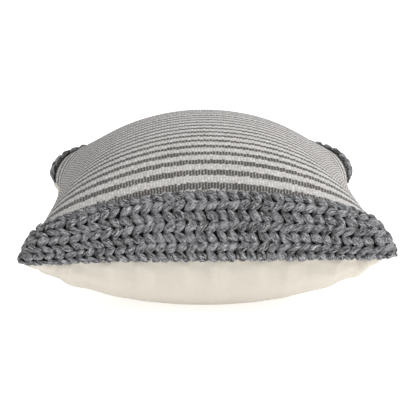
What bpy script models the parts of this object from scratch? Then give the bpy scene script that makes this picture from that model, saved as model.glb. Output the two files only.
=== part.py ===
"""Throw pillow: a striped woven cover with chunky knitted end bands, a plain back, a concealed
zip along the rear seam and a stuffed insert. Metres, +Z up, the front edge faces -Y. The pillow
lies on its back panel, whose flat resting patch is at Z = 0, centred on the origin."""

import math
from types import SimpleNamespace

import bmesh
import bpy

# ---- Driving dimensions -------------------------------------------------------------------

# Filled shape of the cover, measured on the inner side of its cloth
CORNER_SPAN_X = 0.430      # left corner to right corner
CORNER_SPAN_Y = 0.422      # front corner to rear corner
CROWN_HEIGHT = 0.1195      # top of the front face above the corners
BELLY_DEPTH = 0.108        # how far the back face would bulge below the corners if it hung free
REST_DEPTH = 0.0936        # where the surface under the pillow stops that bulge
SIDE_PULL = 0.0237         # how far the left and right edges pull in between the corners
FRONT_PULL = 0.0140        # the same for the front edge
REAR_PULL = 0.0185         # the same for the rear edge
SIDE_DIP = 0.010           # how far the side seams sink between the corners
END_DIP = 0.0068           # how far the front and rear seams sink between the corners
CROWN_ROUND_X = 0.50       # roundness exponents of the front face, left-right and front-rear
CROWN_ROUND_Y = 0.34
BELLY_ROUND = 0.494        # roundness exponent of the back face
EDGE_ROUND = 2.4           # roundness exponent of the edges' pull-in
BAND_SHARE = 0.324         # share of the half face that each knitted band covers

# Cloth
WOVEN_THICKNESS = 0.0016
KNIT_THICKNESS = 0.0080
LINING_THICKNESS = 0.0008
BACK_THICKNESS = 0.0010
TICKING_THICKNESS = 0.0008
SEAM_GAP = 0.0016          # opening between the front and back cloth along every outer seam
JOIN_GAP = 0.0016          # opening between a knitted band and the woven panel
LAYER_GAP = 0.0004         # clearance between pieces that lie on each other
THREAD_RADIUS = 0.00025

# Insert
INSERT_SIDE_ROOM = 0.014   # from the cover's edge to the insert's edge, left and right
INSERT_END_ROOM = 0.018    # the same, front and rear, which leaves room for the zip
INSERT_FACE_ROOM = 0.004   # between the faces of the cover and of the insert
FILLING_EDGE_ROOM = 0.007
FILLING_FACE_ROOM = 0.0016

# Zip in the rear seam: Y is measured outwards from the seam, Z up from it
ZIP_HALF_LENGTH = 0.146
STRAIGHT_SHARE = 0.70      # share of the rear seam that runs straight, to take the zip
TAPE_THICKNESS = 0.0005
TAPE_HEIGHT = 0.009
TAPE_SETBACK = 0.0039      # outer face of the tapes inside the seam
TAPE_EDGE = 0.0010         # edge of each tape above or below the seam
TAPE_STITCH_HEIGHT = 0.0060
COIL_RADIUS = 0.0012
STOP_LENGTH = 0.0024
SLIDER_LENGTH = 0.0090
SLIDER_WALL = 0.0012
SLIDER_CLEARANCE = 0.0004  # between the slider and the coils
NECK_THICKNESS = 0.0008
NECK_CLEARANCE = 0.0003    # between the slider's neck and each coil
PIN_REACH = 0.0032         # pin's axis outside the seam
PIN_RADIUS = 0.0007
PIN_LENGTH = 0.0080
PIN_HEAD_RADIUS = 0.0013
PIN_HEAD_HEIGHT = 0.0009
BORE_CLEARANCE = 0.0003    # between the pin and the pull tab's eye, all round
EYE_WALL = 0.0009
TAB_LENGTH = 0.0250        # from the pin's axis to the tip
TAB_HEIGHT = 0.0046
TAB_THICKNESS = 0.0012

# Care label inside the rear seam, beyond the zip
LABEL_WIDTH = 0.020
LABEL_HEIGHT = 0.014
LABEL_THICKNESS = 0.0004
LABEL_SETBACK = 0.0045

# Mesh lattice
CELLS_X = 18               # cells across every face, left to right
CELLS_FACE_Y = 18          # cells along a whole face, front to rear
CELLS_WOVEN_Y = 12         # cells along the woven panel
CELLS_BAND_Y = 5           # cells along each knitted band

# ---- Colours and finishes -----------------------------------------------------------------

WOVEN_CLOTH = ((0.44, 0.42, 0.39), 0.90, 0.0)
KNIT_YARN = ((0.18, 0.18, 0.19), 0.95, 0.0)
DARK_LINING = ((0.03, 0.03, 0.03), 0.95, 0.0)
CREAM_COTTON = ((0.75, 0.69, 0.60), 0.90, 0.0)
SEWING_THREAD = ((0.55, 0.52, 0.47), 0.80, 0.0)
WHITE_TICKING = ((0.82, 0.82, 0.80), 0.90, 0.0)
WHITE_FIBRE = ((0.88, 0.88, 0.87), 1.00, 0.0)
ZIP_TAPE = ((0.68, 0.64, 0.56), 0.90, 0.0)
ZIP_NYLON = ((0.66, 0.62, 0.55), 0.45, 0.0)
ZIP_METAL = ((0.60, 0.59, 0.57), 0.35, 1.0)
LABEL_CLOTH = ((0.86, 0.85, 0.82), 0.70, 0.0)

# ---- Scene and helpers --------------------------------------------------------------------

for old in list(bpy.data.objects):
    bpy.data.objects.remove(old, do_unlink=True)

pillow = bpy.data.collections.new("throw_pillow")
bpy.context.scene.collection.children.link(pillow)
cutters = bpy.data.collections.new("cutters")
bpy.context.scene.collection.children.link(cutters)


def move_to(obj, collection):
    """Puts an object in one collection only."""
    for holder in list(obj.users_collection):
        holder.objects.unlink(obj)
    collection.objects.link(obj)


def finish(obj, name, look):
    """Names a piece, gives it its material and puts it in the pillow's collection."""
    colour, roughness, metallic = look
    material = bpy.data.materials.new(name)
    material.use_nodes = True
    shader = material.node_tree.nodes["Principled BSDF"]
    shader.inputs["Base Color"].default_value = (*colour, 1.0)
    shader.inputs["Roughness"].default_value = roughness
    shader.inputs["Metallic"].default_value = metallic
    obj.name = name
    obj.data.name = name
    obj.data.materials.clear()
    obj.data.materials.append(material)
    move_to(obj, pillow)
    return obj


def make_cutter(obj):
    """Marks an object as a tool that only shapes other pieces."""
    obj.hide_render = True
    obj.display_type = "WIRE"
    move_to(obj, cutters)
    return obj


def add_boolean(obj, tool, operation):
    cut = obj.modifiers.new(tool.name, "BOOLEAN")
    cut.operation = operation
    cut.solver = "EXACT"
    cut.object = tool


def box(low, high):
    """A cuboid between two opposite corners, with its scale applied."""
    centre = [(a + b) / 2 for a, b in zip(low, high)]
    bpy.ops.mesh.primitive_cube_add(size=1, location=centre)
    obj = bpy.context.object
    for vertex in obj.data.vertices:
        vertex.co = [c * (b - a) for c, a, b in zip(vertex.co, low, high)]
    return obj


def upright_cylinder(radius, x, y, z_low, z_high, sides=20):
    middle = (x, y, (z_low + z_high) / 2)
    bpy.ops.mesh.primitive_cylinder_add(vertices=sides, radius=radius,
                                        depth=z_high - z_low, location=middle)
    return bpy.context.object


def tube(points, radius, resolution=1):
    """A round thread or rod through the points, with filled caps."""
    curve = bpy.data.curves.new("tube", "CURVE")
    curve.dimensions = "3D"
    curve.bevel_depth = radius
    curve.bevel_resolution = resolution
    curve.use_fill_caps = True
    spline = curve.splines.new("POLY")
    spline.points.add(len(points) - 1)
    for point, place in zip(spline.points, points):
        point.co = (*place, 1.0)
    obj = bpy.data.objects.new("tube", curve)
    pillow.objects.link(obj)
    return obj


# ---- The filled pillow form ---------------------------------------------------------------

cover = SimpleNamespace(half_x=CORNER_SPAN_X / 2, half_y=CORNER_SPAN_Y / 2,
                        crown=CROWN_HEIGHT, belly=BELLY_DEPTH, rest=REST_DEPTH)
insert = SimpleNamespace(half_x=cover.half_x - INSERT_SIDE_ROOM,
                         half_y=cover.half_y - INSERT_END_ROOM,
                         crown=cover.crown - INSERT_FACE_ROOM,
                         belly=cover.belly - BACK_THICKNESS - INSERT_FACE_ROOM,
                         rest=cover.rest - BACK_THICKNESS - LAYER_GAP)
filling = SimpleNamespace(half_x=insert.half_x - FILLING_EDGE_ROOM,
                          half_y=insert.half_y - FILLING_EDGE_ROOM,
                          crown=insert.crown - TICKING_THICKNESS - FILLING_FACE_ROOM,
                          belly=insert.belly - TICKING_THICKNESS - FILLING_FACE_ROOM,
                          rest=insert.rest - TICKING_THICKNESS - LAYER_GAP)


def rear_window(x_share):
    """1 along the straight part of the rear seam, easing to 0 at its corners."""
    t = min(max((abs(x_share) - STRAIGHT_SHARE) / (1 - STRAIGHT_SHARE), 0.0), 1.0)
    return 1 - t * t * (3 - 2 * t)


def form(skin, u, v, face, gap=0.0):
    """A point of a filled skin. u and v run from -1 to 1, left to right and front to rear, and
    crowd towards the edges. face is 1 for the front face and -1 for the back face."""
    x_share = math.sin(u * math.pi / 2)
    y_share = math.sin(v * math.pi / 2)
    if v > 0:
        end_pull = REAR_PULL * rear_window(x_share)
        end_dip = END_DIP * rear_window(x_share)
    else:
        end_pull = FRONT_PULL * (1 - abs(x_share) ** EDGE_ROUND)
        end_dip = END_DIP * (1 - x_share ** 2)
    side_pull = SIDE_PULL * (1 - abs(y_share) ** EDGE_ROUND)
    room_x = max(1 - x_share ** 2, 0.0)
    room_y = max(1 - y_share ** 2, 0.0)
    x = x_share * (skin.half_x - side_pull)
    y = y_share * (skin.half_y - end_pull)
    z = -end_dip * y_share ** 2 - SIDE_DIP * room_y * x_share ** 2 + face * gap / 2
    if face > 0:
        z += skin.crown * room_x ** CROWN_ROUND_X * room_y ** CROWN_ROUND_Y
    else:
        z -= skin.belly * (room_x * room_y) ** BELLY_ROUND
        z = max(z, -skin.rest)
    return x, y, z + REST_DEPTH


def cloth_sheet(skin, face, v_low, v_high, cells, gap, lift=0.0):
    """A grid laid on one face of a skin, from v_low to v_high and over its whole width, then
    raised off it by lift. cells is (across, along)."""
    bpy.ops.mesh.primitive_grid_add(x_subdivisions=cells[0], y_subdivisions=cells[1], size=2)
    obj = bpy.context.object
    mesh = obj.data
    for vertex in mesh.vertices:
        u, v_share, _ = vertex.co
        v = v_low + (v_share + 1) / 2 * (v_high - v_low)
        vertex.co = form(skin, u, v, face, gap)
    if face < 0:
        mesh.flip_normals()
    mesh.update()
    if lift:
        normals = [vertex.normal.copy() for vertex in mesh.vertices]
        for vertex, normal in zip(mesh.vertices, normals):
            vertex.co += normal * lift
    return obj


def thicken(obj, thickness, side):
    """Turns a sheet into a cloth shell. side is 1 outwards and -1 inwards."""
    shell = obj.modifiers.new("cloth_thickness", "SOLIDIFY")
    shell.thickness = thickness
    shell.offset = side
    shell.use_rim = True
    obj.data.shade_smooth()
    return obj


# ---- Cover --------------------------------------------------------------------------------

band_edge = 1 - BAND_SHARE
face_length = 2 * cover.crown + CORNER_SPAN_Y
join_share = JOIN_GAP / face_length * 2


def make_woven_front_panel():
    reach = band_edge - join_share
    sheet = cloth_sheet(cover, 1, -reach, reach, (CELLS_X, CELLS_WOVEN_Y), SEAM_GAP)
    finish(thicken(sheet, WOVEN_THICKNESS, 1), "woven_front_panel", WOVEN_CLOTH)


def make_band(end, name, look, thickness, lift):
    """One layer of an end band. end is -1 for the front edge and 1 for the rear edge."""
    low, high = sorted((end * band_edge, end))
    sheet = cloth_sheet(cover, 1, low, high, (CELLS_X, CELLS_BAND_Y), SEAM_GAP, lift)
    finish(thicken(sheet, thickness, 1), name, look)


def make_back_panel():
    sheet = cloth_sheet(cover, -1, -1, 1, (CELLS_X, CELLS_FACE_Y), SEAM_GAP)
    finish(thicken(sheet, BACK_THICKNESS, -1), "back_panel", CREAM_COTTON)


def seam_point(skin, u, v):
    """A point of the sewing thread, which shows just outside the slit between the two faces."""
    x, y, z = form(skin, u, v, 1)
    if abs(u) == 1:
        x += math.copysign(THREAD_RADIUS, u)
    if abs(v) == 1:
        y += math.copysign(THREAD_RADIUS, v)
    return x, y, z


def lattice(count):
    return [-1 + 2 * i / count for i in range(count + 1)]


def make_cover_seams():
    steps = lattice(CELLS_X)
    front = [seam_point(cover, u, -1) for u in steps]
    finish(tube(front, THREAD_RADIUS), "front_seam_thread", SEWING_THREAD)
    zip_end = (ZIP_HALF_LENGTH + STOP_LENGTH) / cover.half_x
    corner_steps = [u for u in steps if math.sin(u * math.pi / 2) > zip_end]
    side_steps = lattice(CELLS_FACE_Y)[1:]
    for side, name in ((-1, "left_seam_thread"), (1, "right_seam_thread")):
        along = [seam_point(cover, side, v) for v in side_steps]
        around = [seam_point(cover, side * u, 1) for u in reversed(corner_steps[:-1])]
        finish(tube(along + around, THREAD_RADIUS), name, SEWING_THREAD)


def make_band_joins():
    """The thread that joins each knitted band to the woven panel lies in the gap between."""
    for end, name in ((-1, "front_band_join_thread"), (1, "rear_band_join_thread")):
        v = end * (band_edge - join_share / 2)
        middle = [form(cover, u, v, 1, SEAM_GAP) for u in lattice(CELLS_X)]
        finish(tube(middle, THREAD_RADIUS), name, SEWING_THREAD)


# ---- Insert -------------------------------------------------------------------------------

def make_ticking():
    for face, name in ((1, "insert_top_ticking"), (-1, "insert_bottom_ticking")):
        sheet = cloth_sheet(insert, face, -1, 1, (CELLS_X, CELLS_FACE_Y), SEAM_GAP)
        finish(thicken(sheet, TICKING_THICKNESS, -1), name, WHITE_TICKING)


def make_insert_seam():
    across = lattice(CELLS_X)
    along = lattice(CELLS_FACE_Y)
    path = [seam_point(insert, u, -1) for u in across]
    path += [seam_point(insert, 1, v) for v in along[1:]]
    path += [seam_point(insert, u, 1) for u in reversed(across[:-1])]
    path += [seam_point(insert, -1, v) for v in reversed(along[1:-1])]
    finish(tube(path, THREAD_RADIUS), "insert_seam_thread", SEWING_THREAD)


def make_filling():
    """The stuffing: both faces of its skin, welded along their common edge."""
    cells = (CELLS_X, CELLS_FACE_Y)
    top = cloth_sheet(filling, 1, -1, 1, cells, 0.0)
    bottom = cloth_sheet(filling, -1, -1, 1, cells, 0.0)
    body = bmesh.new()
    body.from_mesh(top.data)
    body.from_mesh(bottom.data)
    bmesh.ops.remove_doubles(body, verts=body.verts, dist=0.00002)
    body.to_mesh(top.data)
    body.free()
    bpy.data.objects.remove(bottom, do_unlink=True)
    top.data.shade_smooth()
    finish(top, "fibre_filling", WHITE_FIBRE)


# ---- Zip ----------------------------------------------------------------------------------

seam_y = cover.half_y - REAR_PULL
seam_z = REST_DEPTH - END_DIP
coil_offset = NECK_THICKNESS / 2 + NECK_CLEARANCE + COIL_RADIUS
coil_y = seam_y - TAPE_SETBACK - TAPE_THICKNESS - LAYER_GAP - COIL_RADIUS
coil_low_y = coil_y - COIL_RADIUS
coil_high_y = coil_y + COIL_RADIUS
slider_inner_z = coil_offset + COIL_RADIUS + SLIDER_CLEARANCE
slider_outer_z = slider_inner_z + SLIDER_WALL
slider_x = ZIP_HALF_LENGTH - STOP_LENGTH - LAYER_GAP - SLIDER_LENGTH / 2
pin_y = seam_y + PIN_REACH


def make_zip_halves():
    for way, name in ((1, "upper"), (-1, "lower")):
        edges = sorted((seam_z + way * TAPE_EDGE, seam_z + way * (TAPE_EDGE + TAPE_HEIGHT)))
        tape_out = seam_y - TAPE_SETBACK
        tape = box((-ZIP_HALF_LENGTH, tape_out - TAPE_THICKNESS, edges[0]),
                   (ZIP_HALF_LENGTH, tape_out, edges[1]))
        finish(tape, "zipper_tape_" + name, ZIP_TAPE)

        coil_z = seam_z + way * coil_offset
        coil_end = ZIP_HALF_LENGTH - STOP_LENGTH - LAYER_GAP
        coil = tube([(-coil_end, coil_y, coil_z), (coil_end, coil_y, coil_z)], COIL_RADIUS, 3)
        finish(coil, "zipper_coil_" + name, ZIP_NYLON)

        stitch_y = tape_out + LAYER_GAP + THREAD_RADIUS
        stitch_z = seam_z + way * TAPE_STITCH_HEIGHT
        stitch = tube([(-ZIP_HALF_LENGTH, stitch_y, stitch_z),
                       (ZIP_HALF_LENGTH, stitch_y, stitch_z)], THREAD_RADIUS)
        finish(stitch, "zipper_thread_" + name, SEWING_THREAD)

        heights = sorted((seam_z + way * NECK_THICKNESS, seam_z + way * slider_outer_z))
        stop = box((ZIP_HALF_LENGTH - STOP_LENGTH, coil_low_y, heights[0]),
                   (ZIP_HALF_LENGTH, coil_high_y, heights[1]))
        finish(stop, "zipper_top_stop_" + name, ZIP_METAL)


def make_bottom_stop():
    stop = box((-ZIP_HALF_LENGTH, coil_low_y, seam_z - slider_outer_z),
               (-ZIP_HALF_LENGTH + STOP_LENGTH, coil_high_y, seam_z + slider_outer_z))
    finish(stop, "zipper_bottom_stop", ZIP_METAL)


def make_slider():
    """A channel round both coils, a neck out through the seam and a pin for the pull tab. The
    object's origin is on the seam, at the slider's middle."""
    plate_in = coil_low_y - SLIDER_CLEARANCE
    plate_out = plate_in - SLIDER_WALL
    flange_end = coil_high_y
    neck = NECK_THICKNESS / 2
    neck_end = pin_y + PIN_HEAD_RADIUS
    upper = [(neck_end, neck), (plate_in, neck), (plate_in, slider_inner_z),
             (flange_end, slider_inner_z), (flange_end, slider_outer_z),
             (plate_out, slider_outer_z)]
    outline = upper + [(y, -z) for y, z in reversed(upper)]

    curve = bpy.data.curves.new("zipper_slider", "CURVE")
    curve.dimensions = "2D"
    curve.fill_mode = "BOTH"
    curve.extrude = SLIDER_LENGTH / 2
    spline = curve.splines.new("POLY")
    spline.points.add(len(outline) - 1)
    for point, (y, z) in zip(spline.points, outline):
        point.co = (y - seam_y, z, 0.0, 1.0)
    spline.use_cyclic_u = True
    profile = bpy.data.objects.new("slider_profile", curve)
    pillow.objects.link(profile)
    profile.rotation_euler = (math.pi / 2, 0.0, math.pi / 2)
    profile.location = (slider_x, seam_y, seam_z)
    bpy.context.view_layer.update()

    evaluated = profile.evaluated_get(bpy.context.evaluated_depsgraph_get())
    mesh = bpy.data.meshes.new_from_object(evaluated)
    body = bmesh.new()
    body.from_mesh(mesh)
    bmesh.ops.remove_doubles(body, verts=body.verts, dist=0.00001)
    bmesh.ops.recalc_face_normals(body, faces=body.faces)
    body.to_mesh(mesh)
    body.free()
    slider = bpy.data.objects.new("zipper_slider", mesh)
    pillow.objects.link(slider)
    slider.matrix_world = profile.matrix_world
    bpy.data.objects.remove(profile, do_unlink=True)

    pin_low = seam_z - neck - PIN_LENGTH
    pin = make_cutter(upright_cylinder(PIN_RADIUS, slider_x, pin_y, pin_low, seam_z))
    pin.name = "pin_tool"
    head = make_cutter(upright_cylinder(PIN_HEAD_RADIUS, slider_x, pin_y,
                                        pin_low - PIN_HEAD_HEIGHT, pin_low))
    head.name = "pin_head_tool"
    add_boolean(slider, pin, "UNION")
    add_boolean(slider, head, "UNION")
    finish(slider, "zipper_slider", ZIP_METAL)


def make_pull_tab():
    """A flat drop-shaped blade with an upright eye round the slider's pin. At rest it lies
    along the closed zip, towards -X. The object's origin is on the pin's axis."""
    bore = PIN_RADIUS + BORE_CLEARANCE
    eye = bore + EYE_WALL
    eye_high = seam_z - NECK_THICKNESS / 2 - BORE_CLEARANCE
    eye_low = seam_z - NECK_THICKNESS / 2 - PIN_LENGTH + BORE_CLEARANCE
    middle_z = (eye_low + eye_high) / 2

    curve = bpy.data.curves.new("zipper_pull_tab", "CURVE")
    curve.dimensions = "2D"
    curve.fill_mode = "BOTH"
    curve.extrude = TAB_THICKNESS / 2
    tip_radius = TAB_HEIGHT / 2
    tip_centre = TAB_LENGTH - tip_radius
    root = bore + EYE_WALL / 2
    outline = [(-root, -tip_radius / 2), (-tip_centre, -tip_radius)]
    arc_steps = 8
    for i in range(1, arc_steps):
        angle = math.pi * i / arc_steps
        outline.append((-tip_centre - tip_radius * math.sin(angle),
                        -tip_radius * math.cos(angle)))
    outline += [(-tip_centre, tip_radius), (-root, tip_radius / 2)]
    spline = curve.splines.new("POLY")
    spline.points.add(len(outline) - 1)
    for point, (x, z) in zip(spline.points, outline):
        point.co = (x, z, 0.0, 1.0)
    spline.use_cyclic_u = True
    blade = bpy.data.objects.new("blade", curve)
    pillow.objects.link(blade)
    blade.rotation_euler = (math.pi / 2, 0.0, 0.0)
    blade.location = (slider_x, pin_y, middle_z)
    bpy.context.view_layer.update()

    evaluated = blade.evaluated_get(bpy.context.evaluated_depsgraph_get())
    mesh = bpy.data.meshes.new_from_object(evaluated)
    body = bmesh.new()
    body.from_mesh(mesh)
    bmesh.ops.remove_doubles(body, verts=body.verts, dist=0.00001)
    bmesh.ops.recalc_face_normals(body, faces=body.faces)
    body.to_mesh(mesh)
    body.free()
    tab = bpy.data.objects.new("zipper_pull_tab", mesh)
    pillow.objects.link(tab)
    tab.matrix_world = blade.matrix_world
    bpy.data.objects.remove(blade, do_unlink=True)

    barrel = make_cutter(upright_cylinder(eye, slider_x, pin_y, eye_low, eye_high))
    barrel.name = "eye_tool"
    hole = make_cutter(upright_cylinder(bore, slider_x, pin_y, eye_low - bore,
                                        eye_high + bore))
    hole.name = "bore_tool"
    add_boolean(tab, barrel, "UNION")
    add_boolean(tab, hole, "DIFFERENCE")
    finish(tab, "zipper_pull_tab", ZIP_METAL)


def make_care_label():
    """A blank cloth label folded up inside the rear seam, beyond the zip's closed end."""
    low_x = ZIP_HALF_LENGTH + 2 * STOP_LENGTH
    low_z = seam_z + SEAM_GAP
    label = box((low_x, seam_y - LABEL_SETBACK, low_z),
                (low_x + LABEL_WIDTH, seam_y - LABEL_SETBACK + LABEL_THICKNESS,
                 low_z + LABEL_HEIGHT))
    finish(label, "care_label", LABEL_CLOTH)


make_woven_front_panel()
knit_lift = LINING_THICKNESS + LAYER_GAP
for band_end, band_name in ((-1, "front"), (1, "rear")):
    make_band(band_end, band_name + "_band_lining", DARK_LINING, LINING_THICKNESS, 0.0)
    make_band(band_end, band_name + "_knit_band", KNIT_YARN, KNIT_THICKNESS, knit_lift)
make_back_panel()
make_cover_seams()
make_band_joins()
make_ticking()
make_insert_seam()
make_filling()
make_zip_halves()
make_bottom_stop()
make_slider()
make_pull_tab()
make_care_label()
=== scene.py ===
# %% [markdown]
# # A throw pillow with knitted end bands
#
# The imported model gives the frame: where every panel, seam and zip part lies. This lesson lays
# cloth, yarn and stitching on it, piece by piece, and ends with a plain studio.

# %% Load the frame
import math

import bmesh
import bpy
import numpy as np
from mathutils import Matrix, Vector


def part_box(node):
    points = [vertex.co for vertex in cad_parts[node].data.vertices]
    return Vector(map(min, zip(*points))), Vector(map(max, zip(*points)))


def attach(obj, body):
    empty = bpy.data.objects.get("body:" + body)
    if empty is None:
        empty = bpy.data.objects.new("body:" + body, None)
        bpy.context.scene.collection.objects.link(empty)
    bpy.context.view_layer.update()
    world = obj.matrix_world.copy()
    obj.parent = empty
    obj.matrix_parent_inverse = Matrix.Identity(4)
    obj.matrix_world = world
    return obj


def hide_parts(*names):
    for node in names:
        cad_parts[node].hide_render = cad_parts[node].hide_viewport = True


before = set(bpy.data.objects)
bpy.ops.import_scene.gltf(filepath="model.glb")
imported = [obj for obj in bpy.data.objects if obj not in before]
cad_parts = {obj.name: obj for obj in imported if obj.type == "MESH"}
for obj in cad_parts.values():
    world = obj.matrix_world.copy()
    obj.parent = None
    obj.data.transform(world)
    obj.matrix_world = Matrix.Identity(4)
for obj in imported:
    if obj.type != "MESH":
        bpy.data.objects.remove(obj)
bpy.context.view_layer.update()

# %% [markdown]
# ## The filled form
#
# A stuffed pillow is two flat squares of cloth, sewn along their edges and pushed apart. Its
# corners stay sharp, its edges pull in between them, and its faces swell. The form could be
# sculpted, but a formula keeps the layers parallel: cloth, lining, insert and filling are the
# same formula with smaller sizes. The sizes come from the frame, and the roundness is named.

# %% Sizes of the form
_, back_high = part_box("back_panel")
_, woven_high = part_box("woven_front_panel")
_, tape_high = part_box("zipper_tape_upper")

CLOTH = 0.457                  # the cover's nominal flat side
WOVEN_THICKNESS = 0.0016
HALF_X = back_high.x           # middle to corner, left-right
HALF_Y = back_high.y           # middle to corner, front-rear
REST_DEPTH = 0.0936            # corners above the resting patch
CROWN = woven_high.z - WOVEN_THICKNESS - REST_DEPTH
BELLY = 0.108                  # swell of the back below its corners, before it is pressed flat
SIDE_PULL = 0.0242             # how far the side seams are pulled in at their middle
EAR_PULL = 0.0100              # extra pull-in of the side seams that shapes the rear ears
FRONT_PULL = 0.0140            # the same for the front seam
REAR_PULL = 0.0185             # and for the rear seam
SIDE_DIP = 0.010               # how far the middle of a side seam lies below its corners
END_DIP = 0.0068               # the same for the front and rear seams
SEAM_Z = REST_DEPTH - END_DIP  # height of the rear seam where it runs straight
CROWN_ROUND_X = 0.50           # the lower, the fuller the front face is from side to side
CROWN_ROUND_Y = 0.34           # and from front to rear
BELLY_ROUND = 0.494            # the same for the back, both ways
EDGE_ROUND = 2.4               # the higher, the straighter a seam runs between its corners
REAR_EDGE_ROUND = 1.4          # the same for the rear half of the side seams
STRAIGHT_SHARE = 0.70          # straight part of the rear seam, where the zip is
ZIP_SLIT = 0.0016              # opening between the two faces along the zip
SEAM_SLIT = 0.0003             # the same where they are sewn together
CORNER_ROUND = 36              # the higher, the sharper a corner turns, seen from above
CORNER_FADE = 8                # the higher, the closer to the edges that turn stays
EAR_PINCH = 0.80               # how much flatter the front face is at its rear corners
EAR_REACH = 6                  # the higher, the closer to the corner that stays
BELLY_PINCH = 0.92             # the same two for the back, at all four corners
BELLY_REACH = 3
FRONT_LEFT_DROOP = 0.0090      # how far the front corners hang below the others
FRONT_RIGHT_DROOP = 0.0030
DROOP_REACH = 2.5              # the higher, the closer to the corner that stays
TINY = 1e-9                    # keeps a division away from zero
print("crown", round(CROWN, 4), "half sides", round(HALF_X, 4), round(HALF_Y, 4))


# %% The form as a formula
def ease(share):
    """From 0 to 1, starting and ending gently."""
    return share ** 2 * (3 - 2 * share)


def form(u, v, face, inset=(0.0, 0.0, 0.0)):
    """Points of a filled skin. u and v run from -1 to 1 and crowd towards the edges. inset is
    how much smaller the skin is at its sides, at its ends and on its faces."""
    x_share = np.sin(u * np.pi / 2)
    y_share = np.sin(v * np.pi / 2)
    corner = np.clip((abs(x_share) - STRAIGHT_SHARE) / (1 - STRAIGHT_SHARE), 0, 1)
    straight = 1 - ease(corner)
    pull = np.where(v > 0, REAR_PULL * straight,
                    FRONT_PULL * (1 - abs(x_share) ** EDGE_ROUND))
    dip = END_DIP * np.where(v > 0, straight, 1 - x_share ** 2)
    side_pull = SIDE_PULL * (1 - abs(y_share) ** np.where(v > 0, REAR_EDGE_ROUND, EDGE_ROUND))
    side_pull += EAR_PULL * (v > 0) * np.sin(np.pi * y_share) ** 2
    room_x = np.clip(1 - x_share ** 2, 0, 1)
    room_y = np.clip(1 - y_share ** 2, 0, 1)
    far = np.maximum(abs(x_share), abs(y_share))
    round_far = (abs(x_share) ** CORNER_ROUND + abs(y_share) ** CORNER_ROUND) ** (1 / CORNER_ROUND)
    rounding = 1 - (1 - far / np.maximum(round_far, TINY)) * far ** CORNER_FADE
    x = x_share * (HALF_X - inset[0] - side_pull) * rounding
    y = y_share * (HALF_Y - inset[1] - pull) * rounding
    corner_share = (x_share * y_share) ** 2
    slit = SEAM_SLIT + (ZIP_SLIT - SEAM_SLIT) * np.where(v > 0, straight, 0)
    droop = np.where(x_share < 0, FRONT_LEFT_DROOP, FRONT_RIGHT_DROOP) * (v < 0)
    z = -dip * y_share ** 2 - SIDE_DIP * room_y * x_share ** 2 + face * slit / 2
    z = z - droop * abs(x_share) ** DROOP_REACH * y_share ** 2
    if face > 0:
        pinch = 1 - EAR_PINCH * (v > 0) * corner_share ** EAR_REACH
        z = z + (CROWN - inset[2]) * room_x ** CROWN_ROUND_X * room_y ** CROWN_ROUND_Y * pinch
    else:
        pinch = 1 - BELLY_PINCH * corner_share ** BELLY_REACH
        z = z - (BELLY - inset[2]) * (room_x * room_y) ** BELLY_ROUND * pinch
        z = np.maximum(z, -REST_DEPTH + inset[2])
    return np.stack([x, y, z + REST_DEPTH], axis=-1)


# %% [markdown]
# ## Cloth coordinates
#
# Stripes and stitches follow the cloth, not the axes. So the form is sampled on a fine lattice
# and evened out until its steps are equal along every thread. After that, a share of the cloth
# from left to right and from front to rear names a point, and `lay` gives its place at any
# height above the skin. The same shares later drive the patterns.

# %% Even out a lattice along its threads
LATTICE = 241                  # points of the lattice each way


def even_out(points, axis):
    """Moves the lattice points along one direction until their steps are equal."""
    rows = np.moveaxis(points, axis, 1)
    steps = np.linalg.norm(np.diff(rows, axis=1), axis=2)
    length = np.concatenate([np.zeros((len(rows), 1)), np.cumsum(steps, axis=1)], axis=1)
    share = np.linspace(0, 1, rows.shape[1])
    out = np.empty_like(rows)
    for r, row in enumerate(rows):
        for k in range(3):
            out[r, :, k] = np.interp(share, length[r] / length[r, -1], row[:, k])
    return np.moveaxis(out, 1, axis)


class Skin:
    """One face of a filled form, as a lattice of places and outward normals."""

    def __init__(self, face, inset=(0.0, 0.0, 0.0)):
        steps = np.linspace(-1, 1, LATTICE)
        u, v = np.meshgrid(steps, steps, indexing="ij")
        points = form(u, v, face, inset)
        for axis in (1, 0, 1):
            points = even_out(points, axis)
        self.face = face
        self.points = points
        self.find_normals()

    def find_normals(self):
        across = np.gradient(self.points, axis=0)
        along = np.gradient(self.points, axis=1)
        self.across = across / np.linalg.norm(across, axis=2, keepdims=True)
        self.along = along / np.linalg.norm(along, axis=2, keepdims=True)
        normals = np.cross(across, along) * self.face
        self.normals = normals / np.linalg.norm(normals, axis=2, keepdims=True)

    def read(self, table, fs, ft):
        """A table's values at shares fs, ft of the cloth, blended between lattice points."""
        a, b = fs * (LATTICE - 1), ft * (LATTICE - 1)
        i = np.clip(np.floor(a).astype(int), 0, LATTICE - 2)
        j = np.clip(np.floor(b).astype(int), 0, LATTICE - 2)
        p, q = (a - i)[..., None], (b - j)[..., None]
        front = table[i, j] * (1 - p) + table[i + 1, j] * p
        rear = table[i, j + 1] * (1 - p) + table[i + 1, j + 1] * p
        return front * (1 - q) + rear * q

    def lay(self, fs, ft, height=0.0):
        """Places at shares fs, ft of the cloth, at a height above the skin."""
        fs, ft, height = np.broadcast_arrays(fs, ft, height)
        normal = self.read(self.normals, fs, ft)
        normal = normal / np.linalg.norm(normal, axis=-1, keepdims=True)
        return self.read(self.points, fs, ft) + normal * height[..., None]


front_skin = Skin(1)
back_skin = Skin(-1)
crown_row = front_skin.points[:, LATTICE // 2]
crown_length = np.linalg.norm(np.diff(crown_row, axis=0), axis=1).sum()
print("cloth over the crown:", round(float(crown_length), 3))

# %% [markdown]
# ## Where the bands end
#
# A knitted band is deepest in the middle of its edge. Towards the corners the cloth bunches, so
# the line between the knit and the weave runs closer to the seam. Positions on the front face
# are given as a distance from its middle line in nominal metres, and this cell turns them into
# shares of the cloth.

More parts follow.
